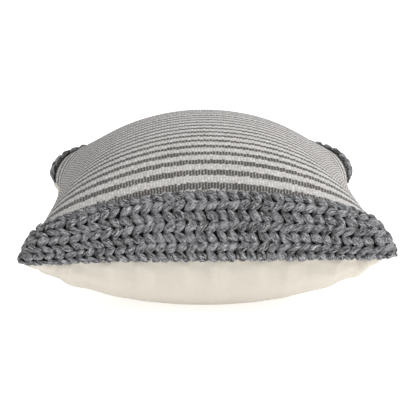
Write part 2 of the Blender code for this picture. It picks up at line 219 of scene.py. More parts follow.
# %% From nominal distances to cloth shares
BAND_DEPTH = 0.0685            # nominal depth of each knitted band
BUNCH_LEFT = 0.046             # share of the cloth that the bands lose at the left side
BUNCH_RIGHT = 0.024            # and at the right side
BUNCH_REACH = 0.85             # where that loss is complete, from the middle to the side
TURN_RADIUS = 0.0045           # how tightly yarn turns down round the seam


def share_across(s):
    """s is a nominal distance from the middle of the front face, to the right."""
    return 0.5 + s / CLOTH


def share_along(s, t):
    """t is the same distance to the rear. Where the bands end depends on s too."""
    reach = np.clip(np.abs(2 * s / CLOTH) / BUNCH_REACH, 0, 1)
    spread = np.where(s < 0, BUNCH_LEFT, BUNCH_RIGHT) * ease(reach)
    middle = 0.5 - BAND_DEPTH / CLOTH
    distance = np.abs(t) / CLOTH
    woven = distance * (middle + spread) / middle
    band = 0.5 - (0.5 - distance) * (0.5 - middle - spread) / (0.5 - middle)
    return 0.5 + np.sign(t) * np.where(distance < middle, woven, band)


def on_front(s, t, height=0.0):
    """Places on the front face. What lies beyond an edge of the cloth turns down round it."""
    s, t, height = np.broadcast_arrays(s, t, height)
    inner_s = np.clip(s, -CLOTH / 2, CLOTH / 2)
    inner_t = np.clip(t, -CLOTH / 2, CLOTH / 2)
    fs, ft = share_across(inner_s), share_along(inner_s, inner_t)
    outward = (front_skin.read(front_skin.across, fs, ft) * (s - inner_s)[..., None]
               + front_skin.read(front_skin.along, fs, ft) * (t - inner_t)[..., None])
    over = np.linalg.norm(outward, axis=-1, keepdims=True)
    outward = outward / np.maximum(over, TINY)
    turn = over / TURN_RADIUS
    base = front_skin.lay(fs, ft)
    normal = front_skin.lay(fs, ft, 1.0) - base
    return base + (normal * np.cos(turn) + outward * np.sin(turn)) * height[..., None]


print("band edge at the middle and at the side:",
      [round(float(share_along(s, -CLOTH / 2 + BAND_DEPTH)), 3) for s in (0.0, CLOTH / 2)])

# %% [markdown]
# ## Mesh helpers
#
# Soft goods are meshes made in code. One helper turns a lattice of places into a sheet with a UV
# map in metres, so that patterns keep their real scale. Another gives the sheet its thickness
# with Solidify and applies it, so the cloth is a closed mesh.


# %% Helpers for sheets
def mesh_piece(name, verts, faces):
    """A smooth mesh that rides on the cover, as all its soft parts and threads do."""
    mesh = bpy.data.meshes.new(name)
    mesh.from_pydata(np.asarray(verts).tolist(), [], faces)
    mesh.update()
    obj = bpy.data.objects.new(name, mesh)
    bpy.context.scene.collection.objects.link(obj)
    mesh.shade_smooth()
    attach(obj, "cover")
    return obj


def lattice_faces(count_a, count_b, flip=False, closed_b=False):
    """Quads of a lattice with count_a by count_b points, stored row by row."""
    i, j = np.meshgrid(np.arange(count_a - 1), np.arange(count_b - (not closed_b)),
                       indexing="ij")
    after = (j + 1) % count_b
    quads = np.stack([i * count_b + j, (i + 1) * count_b + j,
                      (i + 1) * count_b + after, i * count_b + after], axis=-1)
    quads = quads.reshape(-1, 4)
    return (quads[:, ::-1] if flip else quads).tolist()


def set_uv(obj, uv):
    """Gives every vertex its own UV, in metres."""
    layer = obj.data.uv_layers.new(name="cloth")
    corners = np.empty(len(obj.data.loops), dtype=np.int32)
    obj.data.loops.foreach_get("vertex_index", corners)
    layer.data.foreach_set("uv", np.asarray(uv, dtype=np.float32)[corners].ravel())


def closed_tube_faces(rings, sides):
    """A tube's quads and its two end caps."""
    faces = lattice_faces(rings, sides, closed_b=True)
    caps = [list(range(sides)), list(range((rings - 1) * sides, rings * sides))[::-1]]
    return faces + caps


def select_only(obj):
    bpy.ops.object.select_all(action="DESELECT")
    obj.select_set(True)
    bpy.context.view_layer.objects.active = obj


def thicken(obj, thickness, side):
    """Makes a sheet a closed cloth. side is 1 outwards and -1 inwards."""
    select_only(obj)
    solid = obj.modifiers.new("thickness", "SOLIDIFY")
    solid.thickness = thickness
    solid.offset = side
    solid.use_rim = True
    bpy.ops.object.modifier_apply(modifier=solid.name)
    return obj


def report(obj):
    print(obj.name, len(obj.data.polygons), "faces")


# %% [markdown]
# ## Shader maths in plain Python
#
# A weave is arithmetic on cloth coordinates: waves, stripes and noise. Nodes wired by hand hide
# that arithmetic, so a small class wraps a socket and lets Python's own operators add the Math
# nodes. Every other node comes from one method of the finish.


# %% A value that does its own maths
class Value:
    def __init__(self, tree, socket):
        self.tree = tree
        self.socket = socket

    def math(self, operation, *others, first=None):
        node = self.tree.nodes.new("ShaderNodeMath")
        node.operation = operation
        values = [self, *others] if first is None else [first, self]
        for socket, value in zip(node.inputs, values):
            if isinstance(value, Value):
                self.tree.links.new(value.socket, socket)
            else:
                socket.default_value = value
        return Value(self.tree, node.outputs[0])

    def __add__(self, other):
        return self.math("ADD", other)

    def __sub__(self, other):
        return self.math("SUBTRACT", other)

    def __rsub__(self, other):
        return self.math("SUBTRACT", first=other)

    def __mul__(self, other):
        return self.math("MULTIPLY", other)

    def __abs__(self):
        return self.math("ABSOLUTE")

    __radd__ = __add__
    __rmul__ = __mul__

    def fraction(self):
        return self.math("FRACT")

    def whole(self):
        return self.math("FLOOR")

    def wave(self):
        """0 at whole numbers and 1 halfway between them, smoothly."""
        return 0.5 - 0.5 * (self * (2 * math.pi)).math("COSINE")

    def step(self, low, high):
        """0 below low, 1 above high and smooth between."""
        node = self.tree.nodes.new("ShaderNodeMapRange")
        node.interpolation_type = "SMOOTHSTEP"
        self.tree.links.new(self.socket, node.inputs["Value"])
        for key, value in (("From Min", low), ("From Max", high)):
            if isinstance(value, Value):
                self.tree.links.new(value.socket, node.inputs[key])
            else:
                node.inputs[key].default_value = value
        return Value(self.tree, node.outputs[0])


# %% A finish, which makes the other nodes
class Finish:
    def __init__(self, name, roughness=0.9, metallic=0.0, sheen=0.0, specular=0.3):
        self.material = bpy.data.materials.new(name)
        self.material.use_nodes = True
        self.tree = self.material.node_tree
        self.shader = self.tree.nodes["Principled BSDF"]
        self.set("Roughness", roughness)
        self.set("Metallic", metallic)
        self.set("Sheen Weight", sheen)
        self.set("Specular IOR Level", specular)

    def plug(self, socket, value):
        """Links a value to a socket, or sets the socket to a number or a colour."""
        if isinstance(value, Value):
            self.tree.links.new(value.socket, socket)
        elif hasattr(socket.default_value, "__len__") and len(value) < len(socket.default_value):
            socket.default_value = (*value, 1.0)
        else:
            socket.default_value = value

    def set(self, name, value):
        self.plug(self.shader.inputs[name], value)

    def node(self, kind, settings=None, inputs=None, output=0):
        """Adds any node: its type, its settings and what goes into its sockets."""
        node = self.tree.nodes.new("ShaderNode" + kind)
        for key, value in (settings or {}).items():
            setattr(node, key, value)
        for key, value in (inputs or {}).items():
            self.plug(node.inputs[key], value)
        return Value(self.tree, node.outputs[output])

    def cloth(self):
        """The piece's own cloth coordinates, in metres."""
        place = self.node("UVMap", {"uv_map": "cloth"})
        split = self.tree.nodes.new("ShaderNodeSeparateXYZ")
        self.tree.links.new(place.socket, split.inputs[0])
        return Value(self.tree, split.outputs[0]), Value(self.tree, split.outputs[1])

    def place(self):
        """The point's own place on the object, in metres."""
        return self.node("TexCoord", output="Object")

    def point(self, x, y):
        return self.node("CombineXYZ", inputs={0: x, 1: y})

    def noise(self, where, scale, detail=2.0, roughness=0.5):
        return self.node("TexNoise", inputs={"Vector": where, "Scale": scale, "Detail": detail,
                                             "Roughness": roughness}, output="Fac")

    def mix(self, share, first, second):
        return self.node("Mix", {"data_type": "RGBA"}, {0: share, 6: first, 7: second}, output=2)

    def attribute(self, name):
        return self.node("Attribute", {"attribute_name": name}, output="Fac")

    def bump(self, height, distance, strength):
        return self.node("Bump", inputs={"Height": height, "Distance": distance,
                                         "Strength": strength})

    def give(self, obj):
        obj.data.materials.clear()
        obj.data.materials.append(self.material)


# %% [markdown]
# ## The woven panel
#
# The middle of the front is a weft-faced rib weave: thin ribs run from front to rear, and the
# weft colours make stripes that get finer towards the middle. Ribs of 3.3 mm show in the
# outline, so they are modelled. The stripes, their stepped edges and the heathered yarn are
# worked out in the material from the cloth coordinates.

# %% Woven panel, ribs and all
RIB_COUNT = 138
RIB_PITCH = CLOTH / RIB_COUNT
RIB_SAMPLES = 5                # cells across one rib
RIB_HEIGHT = 0.0006
RIB_SHARPNESS = 0.8            # the lower, the narrower the valleys between ribs
RIB_UNEVEN = 0.15              # share of the height that varies from place to place
WOVEN_ROWS = 64
WOVEN_TUCK = 0.003             # how far the panel runs under the knit
WEB_HEIGHT = 0.0005            # foot of the ribs above the skin
WEB_THICKNESS = 0.0004


def make_woven_panel():
    edge = CLOTH / 2 - BAND_DEPTH + WOVEN_TUCK
    s = np.linspace(-CLOTH / 2, CLOTH / 2, RIB_COUNT * RIB_SAMPLES + 1)
    t = np.linspace(-edge, edge, WOVEN_ROWS + 1)
    s, t = np.meshgrid(s, t, indexing="ij")
    rib = np.abs(np.sin(np.pi * s / RIB_PITCH)) ** RIB_SHARPNESS
    uneven = 1 - RIB_UNEVEN + RIB_UNEVEN * np.sin(s * 71 + 3 * np.sin(t * 23))
    points = on_front(s, t, WEB_HEIGHT + RIB_HEIGHT * rib * uneven)
    panel = mesh_piece("woven_panel", points.reshape(-1, 3), lattice_faces(*s.shape))
    set_uv(panel, np.stack([s, t], axis=-1).reshape(-1, 2))
    thicken(panel, WEB_THICKNESS, -1)
    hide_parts("woven_front_panel")
    report(panel)
    return panel


woven_panel = make_woven_panel()

# %% [markdown]
# ### Its striped yarn
#
# The stripes lie evenly near the middle. Beyond that the distance between them grows steadily
# towards the bands, so the number of stripes passed is a logarithm there. The cloth is dark
# where that number is nearly whole. Alternate ribs shift the stripe's edge by a fixed step,
# which gives the weave its stepped look, and the yarn's own noise breaks the colour up.


# %% Stripe finish
FINE_PITCH = 0.0101            # distance between stripes near the middle of the face
FINE_REACH = 0.065             # how far from the middle that distance holds
PITCH_GROWTH = 0.086           # how much it grows per metre beyond
RIB_STEP = 0.0007              # how far a stripe's edge steps from one rib to the next
RAGGED_STEP = 0.0006           # how far it strays at random, near the middle of the face
RAGGED_GROWTH = 0.030          # how much more it strays per metre towards the bands
EDGE_BLUR = 0.04               # softness of a stripe's edge, as a share of the pitch
PICK_PITCH = 0.0012            # distance between weft threads
TWILL_PITCH = 0.0042           # length of one slant of the dark stripes' herringbone
ZIGZAG_PITCH = 0.0036          # length over which the fine twill between ribs turns back
LIGHT_YARN = ((0.33, 0.32, 0.31), (0.665, 0.647, 0.633))
DARK_YARN = ((0.014, 0.013, 0.012), (0.115, 0.105, 0.099))
MIXED_YARN = ((0.10, 0.095, 0.090), (0.46, 0.441, 0.423))
VALLEY_COLOUR = (0.13, 0.122, 0.114)


def woven_finish():
    finish = Finish("woven_stripes", roughness=0.92, sheen=0.1, specular=0.12)
    s, t = finish.cloth()
    rib = s * (1 / RIB_PITCH)
    rib_number = rib.whole()
    odd = (rib_number * 0.5).fraction() * 2
    rib_noise = finish.noise(finish.point(rib_number * 0.37, t * 120), 1.0, 1.0)
    from_middle = abs(t)
    ragged = (rib_noise - 0.5) * (from_middle * RAGGED_GROWTH + RAGGED_STEP)
    distance = from_middle + (odd - 0.5) * RIB_STEP + ragged
    even_part = distance.math("MINIMUM", FINE_REACH) * (1 / FINE_PITCH)
    beyond = (distance - FINE_REACH).math("MAXIMUM", 0.0)
    growth = (beyond * (PITCH_GROWTH / FINE_PITCH) + 1).math("LOGARITHM", math.e)
    passed = even_part + growth * (1 / PITCH_GROWTH)
    off_centre = abs((passed + 0.5).fraction() - 0.5)
    half_dark = (distance * 0.3 + 0.190).math("MINIMUM", 0.232)
    dark = 1 - off_centre.step(half_dark - EDGE_BLUR, half_dark + EDGE_BLUR)

    fibre = finish.noise(finish.point(s * 1400, t * 2600), 1.0, 3.0, 0.6)
    streak = finish.noise(finish.point(rib_number * 0.73, t * 300), 1.0, 2.0)
    cloud = finish.noise(finish.point(s * 40, t * 40), 1.0, 2.0)
    column = rib.wave()
    slant = (odd - 0.5) * ((t * (1 / TWILL_PITCH)).fraction() - 0.5) * 0.5
    column_now = (rib + slant + (rib_noise - 0.5) * 0.5).wave()
    cover = (column_now + (streak - 0.5) * 1.7).step(distance * 1.6 - 0.05,
                                                     distance * 1.6 + 0.3)
    light = finish.mix((streak * 0.5 + fibre * 0.5).step(0.30, 0.70), *LIGHT_YARN)
    deep = finish.mix(fibre.step(0.35, 0.75), *DARK_YARN)
    blend = finish.mix((streak * 0.7 + cloud * 0.3).step(0.34, 0.66), *MIXED_YARN)
    striped = finish.mix(cover, blend, deep)
    yarn = finish.mix(dark, light, striped)
    zigzag = (rib * 2 + (t * (1 / ZIGZAG_PITCH)).wave() * 0.5).wave()
    valley = 1 - column.step(0.0, 0.4)
    shadow = valley * 0.22 + (1 - zigzag) * 0.20
    finish.set("Base Color", finish.mix(shadow, yarn, VALLEY_COLOUR))

    pick = (t + odd * 0.0006) * (1 / PICK_PITCH)
    weave = pick.wave() * 0.6 + fibre * 0.7
    finish.set("Normal", finish.bump(weave, 0.0007, 0.9))
    return finish


woven_finish().give(woven_panel)

# %% [markdown]
# ## The knitted bands
#
# Each band is knitted sideways in very thick yarn, so its braids of V-shaped stitches run along
# the edge. Gaps between the legs of the V's look nearly black, so they must be real gaps. Every
# leg is a closed leaf-shaped length of yarn, thick in the middle and tucked in at both ends,
# laid on the skin vertex by vertex so that it follows the bulge. Seeded noise makes no two
# legs alike.

# %% One leg of yarn, as rings round a line
LEG_ROWS = 7
STITCHES = 38
LEG_RINGS = 8
LEG_SIDES = 9
LEG_WIDTH = 0.0048             # half width at the leg's middle
LEG_DEPTH = 0.0034             # half depth there
LEG_ROOT = 0.0024              # centre of its ends above the skin
LEG_RUN = 0.0150               # how far a leg runs along the band
LEG_OVERLAP = 1.06             # its length, as a share of the distance that it spans
LEG_HEIGHT = 0.0056            # centre of its middle above the skin
LOWEST_YARN = 0.0012           # no part of it goes deeper, because the lining lies there
END_WIDTH = 0.04               # the higher, the blunter a leg's ends
LEG_LEAN = 0.9                 # below 1, its widest place lies nearer to its start
LEG_FULLNESS = 0.78            # the lower, the fuller it is towards its ends
CLIMB = 0.35                   # part of the leg over which it rises to its height
SINK = 0.25                    # and part over which it sinks again
PLIES = 3                      # strands twisted together in the yarn
PLY_RELIEF = 0.08
PLY_TWIST = 1.5                # turn of the strands along one leg, in radians
YARN_ROUND = 0.024             # distance round the yarn
THIN_FRONT = 0.55              # how much of the thickness is left at the front band's sides
THIN_REAR = 0.28               # and at the rear band's sides
THIN_REACH = 0.035             # how far in from the side seams it is pressed thin
JOIN_ROOM = 0.0020             # the first row starts this far from the woven panel
JOIN_RISE_LEFT = 0.0075        # and climbs onto it this far at the left side
JOIN_RISE_RIGHT = 0.0055       # and at the right side
HEM_TURN = 0.0015              # the last row reaches this far round the seam
RUN_SPREAD = 0.05              # how much the legs differ in their run, as a share of it
FAT_SPREAD = 0.04              # the same for their thickness
PROUD_SPREAD = 0.0003          # how much they differ in height
LEG_BOW = 0.0006               # how far a leg's middle bends to the side


class Leg:
    """One side of a stitch. It starts low, rises to its full height and sinks again at its far
    end. Its seeded draws make it a little different from the others."""

    def __init__(self, rng, s_start, t_start, t_end):
        run = LEG_RUN * (1 + RUN_SPREAD * rng.standard_normal())
        drop = t_end - t_start
        self.length = math.hypot(run, drop)
        self.ahead = (run / self.length, drop / self.length)
        self.middle = (s_start + run / 2, (t_start + t_end) / 2)
        self.fat = 1 + FAT_SPREAD * rng.standard_normal()
        self.proud = PROUD_SPREAD * rng.standard_normal()
        self.bow = LEG_BOW * np.sign(drop)
        self.tone = rng.random()
        self.thin = THIN_FRONT if t_start < 0 else THIN_REAR

    def at(self, along, around, grow=1.0):
        """Nominal s, t and height. along runs from 0 to 1, around is an angle round the yarn,
        and grow is how far out the point lies, where 1 is the yarn's surface."""
        taper = np.sin(np.pi * (END_WIDTH + (1 - 2 * END_WIDTH) * along ** LEG_LEAN))
        swell = taper ** LEG_FULLNESS * self.fat * grow
        strand = 1 + PLY_RELIEF * np.cos(PLIES * around)
        angle = around + PLY_TWIST * along
        travel = (along - 0.5) * self.length * LEG_OVERLAP
        wide = LEG_WIDTH * swell * strand * np.cos(angle) + self.bow * np.sin(np.pi * along)
        s = self.middle[0] + self.ahead[0] * travel - self.ahead[1] * wide
        t = self.middle[1] + self.ahead[1] * travel + self.ahead[0] * wide
        rise = np.clip(along / CLIMB, 0, 1) ** 0.8 * np.clip((1 - along) / SINK, 0, 1) ** 0.6
        centre = LEG_ROOT + (LEG_HEIGHT - LEG_ROOT + self.proud) * rise
        height = centre + LEG_DEPTH * swell * strand * np.sin(angle)
        to_side = np.clip((CLOTH / 2 - np.abs(s)) / THIN_REACH, 0, 1)
        height = height * (self.thin + (1 - self.thin) * to_side * (2 - to_side))
        return s, t, np.maximum(height, LOWEST_YARN)


print("a leg covers", round(LEG_RUN * 1000, 1), "mm and", LEG_ROWS, "rows make a band")

# %% Where yarn may go
SIDE_TURN_FRONT = 0.0045       # how far the front band reaches round the side seams
SIDE_TURN_REAR = 0.0010        # the same for the rear band
END_TURN = 0.003               # and for both bands round the front and rear seams
HEM_ROOM = 0.006               # the rear hem is kept up for this much beyond the zip tape
HEM_LIFT = 0.0010              # and this far above the seam
NO_HEM = -1.0                  # a height that nothing reaches, where there is no such limit
JOIN_REACH = 0.55              # where the first row's climb ends, from the middle to the side


def hem_height(x):
    """The rear band's hem stays above the zip, so that the slider can pass under it."""
    return np.where(np.abs(x) < tape_high.x + HEM_ROOM, SEAM_Z + HEM_LIFT, NO_HEM)


def knit_place(s, t, height, end):
    """From nominal places to real ones, with the rear hem kept above the zip."""
    side_turn = SIDE_TURN_FRONT if end < 0 else SIDE_TURN_REAR
    s = np.clip(s, -CLOTH / 2 - side_turn, CLOTH / 2 + side_turn)
    t = np.clip(t, -CLOTH / 2 - END_TURN, CLOTH / 2 + END_TURN)
    places = on_front(s, t, height)
    if end > 0:
        places[..., 2] = np.maximum(places[..., 2], hem_height(places[..., 0]))
    return places


def join_rise(s):
    """How far the first row climbs onto the weave, more towards the sides."""
    reach = min(abs(2 * s / CLOTH) / JOIN_REACH, 1)
    return (JOIN_RISE_LEFT if s < 0 else JOIN_RISE_RIGHT) * ease(reach)


print("the first row climbs", [round(join_rise(s) * 1000, 1) for s in (-0.2, -0.1, 0, 0.1, 0.2)],
      "mm onto the weave")

# %% Both bands, leg by leg
STITCH_SPREAD = 0.0004         # how far a stitch strays from its place, each way
STITCH_START = 0.2             # part of the pitch by which a leg starts early
UV_STEP = (0.031, 0.017)       # from leg to leg, so that each reads its own part of the noise
KNIT_SEED = 11


def plan_legs(end):
    """Every leg of one band. end is -1 for the front band and 1 for the rear one."""
    rng = np.random.default_rng(KNIT_SEED + end)
    pitch = CLOTH / STITCHES
    legs = []
    for row in range(LEG_ROWS):
        for stitch in range(-1, STITCHES + 1):
            s_start = -CLOTH / 2 + (stitch - STITCH_START) * pitch
            s_start += STITCH_SPREAD * rng.standard_normal()
            wobble = STITCH_SPREAD * rng.standard_normal()
            first = CLOTH / 2 - BAND_DEPTH + JOIN_ROOM - join_rise(s_start + LEG_RUN / 2)
            row_depth = (CLOTH / 2 + HEM_TURN - first) / LEG_ROWS
            inner = first + row * row_depth
            outer = inner + row_depth
            if row == 0:
                inner += JOIN_ROOM / 2
            if row % 2:
                inner, outer = outer, inner
            legs.append(Leg(rng, s_start, end * (inner + wobble), end * (outer + wobble)))
    return legs


def make_knit_band(legs, end, name, node):
    along = np.linspace(0, 1, LEG_RINGS)[:, None]
    around = np.linspace(0, 2 * np.pi, LEG_SIDES, endpoint=False)[None, :]
    count = LEG_RINGS * LEG_SIDES
    part = closed_tube_faces(LEG_RINGS, LEG_SIDES)
    points, uvs, faces, tones, shade_depths = ([] for _ in range(5))
    for n, leg in enumerate(legs):
        s, t, height = leg.at(along, around)
        points.append(knit_place(s, t, height, end).reshape(-1, 3))
        u, v = np.broadcast_arrays(along * leg.length, around / (2 * np.pi) * YARN_ROUND)
        uv = np.stack([u + UV_STEP[0] * n, v + UV_STEP[1] * n], axis=-1)
        uvs.append(uv.reshape(-1, 2))
        faces += [[n * count + k for k in face] for face in part]
        tones += [leg.tone] * count
        # Each vertex's height is kept so that the yarn's low parts can be painted dark, as painted
        # shade.
        shade_depths.append(height.ravel() / (LEG_HEIGHT + LEG_DEPTH))
    band = mesh_piece(name, np.concatenate(points), faces)
    set_uv(band, np.concatenate(uvs))
    band.data.attributes.new("tone", "FLOAT", "POINT").data.foreach_set("value", tones)
    shade_depth_layer = band.data.attributes.new("depth", "FLOAT", "POINT")
    shade_depth_layer.data.foreach_set("value", np.concatenate(shade_depths))
    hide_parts(node)
    report(band)
    return band


front_legs, rear_legs = plan_legs(-1), plan_legs(1)
front_band = make_knit_band(front_legs, -1, "front_knit", "front_knit_band")
rear_band = make_knit_band(rear_legs, 1, "rear_knit", "rear_knit_band")

# %% [markdown]
# ### Its yarn
#
# The yarn is several plies twisted together, in greys that were blended before spinning. Across
# a leg the plies make soft diagonal grooves, and single fibres catch the light. The grooves are
# also painted a little darker, and the low parts of every leg, deep between the legs, nearly
# black: both are painted shade. The groove runs in the leg's own UVs, and every leg has its own
# tone.


# %% Yarn finish
def knit_finish():
    finish = Finish("heather_yarn", roughness=0.95, sheen=0.2, specular=0.08)
    along, around = finish.cloth()
    ply = (around * (PLIES / YARN_ROUND) + 0.5).wave()
    hair = finish.noise(finish.point(along * 130, around * 900 + along * 260), 1.0, 2.0, 0.8)
    fleck = finish.noise(finish.point(along * 380 + 9, around * 1500), 1.0, 1.0, 0.7)
    # The last term paints the ply grooves darker: painted shade.
    shade = hair * 0.65 + fleck * 0.35 + finish.attribute("tone") * 0.07 - (1 - ply) * 0.08
    grey = finish.mix(shade.step(0.42, 0.59), (0.013, 0.013, 0.014), (0.32, 0.32, 0.33))
    # Low vertices, deep in the gaps between legs, are painted almost black: painted shade.
    sunk_shade = 1 - finish.attribute("depth").step(0.15, 0.50)
    finish.set("Base Color", finish.mix(sunk_shade * 0.85, grey, (0.014, 0.014, 0.015)))
    finish.set("Normal", finish.bump(hair * 0.9 + fleck * 0.5 + ply * 0.2, 0.0035, 1.0))
    return finish


yarn = knit_finish()
yarn.give(front_band)
yarn.give(rear_band)

# %% [markdown]
# ### Loose fibres
#
# Soft-spun yarn sheds fibres that lie along it and stand up a little. They break up the clean
# outline of every leg and catch the light as fine pale lines; their colour varies at random and
# is also painted much paler than the yarn's, as a painted highlight. Particle hair would not
# survive an export, so each fibre is a thin three-sided strand of real faces that starts on a leg
# and bends away from it. The tube that makes a strand makes the threads and the zip's coils too.


# %% A tube round any line
def tube_rings(points, radius, sides, up):
    """Rings of vertices round a line. up is any direction that the line never takes."""
    ahead = np.gradient(points, axis=0)
    ahead /= np.linalg.norm(ahead, axis=1, keepdims=True)
    first = np.cross(ahead, up)
    first /= np.linalg.norm(first, axis=1, keepdims=True)
    second = np.cross(ahead, first)
    angle = 2 * np.pi * np.arange(sides) / sides
    radius = np.broadcast_to(radius, len(points))[:, None, None]
    ring = (first[:, None] * np.cos(angle)[None, :, None]
            + second[:, None] * np.sin(angle)[None, :, None])
    return points[:, None] + radius * ring


print("a tube of 4 rings and 3 sides has", len(closed_tube_faces(4, 3)), "faces")

# %% Fibres on both bands
LEG_FIBRES = 12                # on each leg
FIBRE_RINGS = 4
FIBRE_SIDES = 3
FIBRE_RADIUS = 0.00026
FIBRE_SEED = 101


def make_fibres(legs, end, name):
    rng = np.random.default_rng(FIBRE_SEED + end)
    share = np.linspace(0, 1, FIBRE_RINGS)
    points = []
    for leg in legs:
        for _ in range(LEG_FIBRES):
            start = rng.uniform(0.05, 0.70)
            along = start + share * rng.uniform(0.15, 0.30)
            upward = np.pi / 2 - PLY_TWIST * along
            around = upward + rng.uniform(-1.1, 1.1) + rng.uniform(-0.5, 0.5) * share
            stand = 1.03 + rng.uniform(0, 0.16) * share ** 2
            centre = knit_place(*leg.at(along, around, stand), end)
            radius = FIBRE_RADIUS * (1 - 0.5 * share)
            up = centre[0] * [1, 1, 0] + [0, 0, 0.05]
            points.append(tube_rings(centre, radius, FIBRE_SIDES, up / np.linalg.norm(up)))
    count = FIBRE_RINGS * FIBRE_SIDES
    part = closed_tube_faces(FIBRE_RINGS, FIBRE_SIDES)
    faces = [[count * n + k for k in face] for n in range(len(points)) for face in part]
    fibres = mesh_piece(name, np.concatenate(points).reshape(-1, 3), faces)
    report(fibres)
    return fibres


def pale_fibre_highlight_finish():
    finish = Finish("loose_fibre_painted_highlight", roughness=0.8, sheen=0.3, specular=0.2)
    # The strands are painted far paler than the yarn's own greys: partly a painted highlight, with
    # a random tone.
    tone = finish.noise(finish.place(), 180.0, 1.0).step(0.35, 0.65)
    finish.set("Base Color", finish.mix(tone, (0.15, 0.15, 0.16), (0.70, 0.70, 0.72)))
    return finish


strand_highlight_finish = pale_fibre_highlight_finish()
strand_highlight_finish.give(make_fibres(front_legs, -1, "front_knit_fibres"))
strand_highlight_finish.give(make_fibres(rear_legs, 1, "rear_knit_fibres"))

# %% [markdown]
# ## The lining behind the knit
#
# An open knit would show the white insert through its gaps, so a dark cloth backs it. It is a
# plain thin sheet that follows the skin right under the yarn.


# %% Dark linings
LINING_HEIGHT = 0.0008         # above the skin
LINING_THICKNESS = 0.0006
LINING_TUCK = 0.0005           # how far it runs under the woven panel


def make_lining(end, name, node):
    s = np.linspace(-CLOTH / 2, CLOTH / 2, 91)
    t = end * np.linspace(CLOTH / 2 - BAND_DEPTH - LINING_TUCK, CLOTH / 2, 19)
    s, t = np.meshgrid(s, t, indexing="ij")
    points = on_front(s, t, LINING_HEIGHT)
    lining = mesh_piece(name, points.reshape(-1, 3),
                        lattice_faces(*s.shape, flip=end < 0))
    set_uv(lining, np.stack([s, t], axis=-1).reshape(-1, 2))
    thicken(lining, LINING_THICKNESS, -1)
    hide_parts(node)
    report(lining)
    return lining


def plain_cloth_finish(name, light, dark, thread=0.0006, roughness=0.9):
    """A plain weave: two threads of the same pitch, over and under each other."""
    finish = Finish(name, roughness=roughness, sheen=0.1, specular=0.15)
    s, t = finish.cloth()
    weave = (s * (1 / thread)).wave() * 0.5 + (t * (1 / thread)).wave() * 0.5
    slub = finish.noise(finish.point(s * 400, t * 60), 1.0, 2.0) * 0.5 \
        + finish.noise(finish.point(s * 60, t * 400), 1.0, 2.0) * 0.5
    shade = weave * 0.35 + slub * 0.65
    finish.set("Base Color", finish.mix(shade.step(0.25, 0.75), dark, light))
    finish.set("Normal", finish.bump(weave + slub * 0.6, thread * 0.35, 0.5))
    return finish


dark_cloth = plain_cloth_finish("dark_lining_cloth", (0.022, 0.022, 0.023),
                                (0.010, 0.010, 0.010))
for lining_end, lining_name in ((-1, "front"), (1, "rear")):
    dark_cloth.give(make_lining(lining_end, lining_name + "_lining",
                                lining_name + "_band_lining"))

# %% [markdown]
# ## The back panel
#
# The back is plain cream cotton. It takes the pillow's weight on a flat patch, and where the
# curved seam gathers it, soft folds run in from the edge and fade. Bump would vanish at the
# outline, so the folds are moved vertices, strongest near the corners.

# %% Soft folds
FINE_FOLDS = (0.019, 1, 0.12, 0.0007, 0.0034)
BROAD_FOLDS = (0.047, 3, 0.30, 0.0022, 0.0036)
SMOOTH_REAR = 0.06             # share of the cloth that stays smooth, where the pull tab lies
SMOOTH_FADE = 0.08             # and the share over which the folds grow beyond it


def folds(fs, ft):
    """Height of the soft folds that run in from the edges of the back. Each kind has a pitch,
    a phase, a reach, a height and an extra height near the corners."""
    x, y = (2 * fs - 1), (2 * ft - 1)
    height = np.zeros_like(x)
    for edge, run, seed in ((1 - abs(y), x, 0.0), (1 - abs(x), y, 2.1)):
        metres = run * CLOTH / 2
        bend = 0.004 * np.sin(70 * metres + seed) + 0.30 * metres * edge
        near_corner = np.clip((abs(run) - 0.45) / 0.5, 0, 1) ** 1.5
        start = np.clip(edge / 0.03, 0, 1) * np.clip((1 - abs(run)) / 0.2, 0, 1)
        for pitch, phase, reach, rise, corner_rise in (FINE_FOLDS, BROAD_FOLDS):
            wave = np.sin(2 * np.pi * (metres + bend) / pitch + phase * seed)
            height += start * np.exp(-edge / reach) * wave * (rise + corner_rise * near_corner)
    return height * np.clip((1 - y - SMOOTH_REAR) / SMOOTH_FADE, 0, 1)


fold_row = folds(np.linspace(0, 1, LATTICE), np.full(LATTICE, 0.02))
print("folds beside the front seam:", round(float(np.ptp(fold_row)) * 1000, 1), "mm high")

# %% Back panel
BACK_CELLS = 180
BACK_THICKNESS = 0.0007
RESTING_EDGE = 0.001           # below this height the back lies flat and has no folds
RESTING_FADE = 0.02            # and over this height they grow


def make_back_panel():
    share = np.linspace(0, 1, BACK_CELLS + 1)
    fs, ft = np.meshgrid(share, share, indexing="ij")
    points = back_skin.lay(fs, ft)
    free = np.clip((points[..., 2] - RESTING_EDGE) / RESTING_FADE, 0, 1)
    points = back_skin.lay(fs, ft, folds(fs, ft) * free)
    points[..., 2] = np.maximum(points[..., 2], 0)
    panel = mesh_piece("back_cloth", points.reshape(-1, 3),
                       lattice_faces(*fs.shape, flip=True))
    set_uv(panel, np.stack([fs * CLOTH, ft * CLOTH], axis=-1).reshape(-1, 2))
    thicken(panel, BACK_THICKNESS, -1)
    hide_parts("back_panel")
    report(panel)
    return panel


cream = plain_cloth_finish("cream_cotton_cloth", (0.535, 0.500, 0.438), (0.480, 0.445, 0.388))
cream.give(make_back_panel())

# %% [markdown]
# ## What is inside
#
# The insert is a casing of two thin sheets, sewn all round and stuffed with fibre. None of it
# shows while the zip is closed, but it is what holds the shape. The same form is used again,
# smaller by the room that the frame leaves at the sides, at the ends and on the faces.

# %% Insert casing and filling
CASING_INSET = (0.014, 0.018, 0.004)
FILLING_INSET = (0.021, 0.025, 0.0064)
INSERT_CELLS = 96
CASING_THICKNESS = 0.0006
RIPPLE = 0.0005                # how uneven the top of the insert is
RIPPLE_FADE = 0.06             # share of the cloth over which that fades at the edges


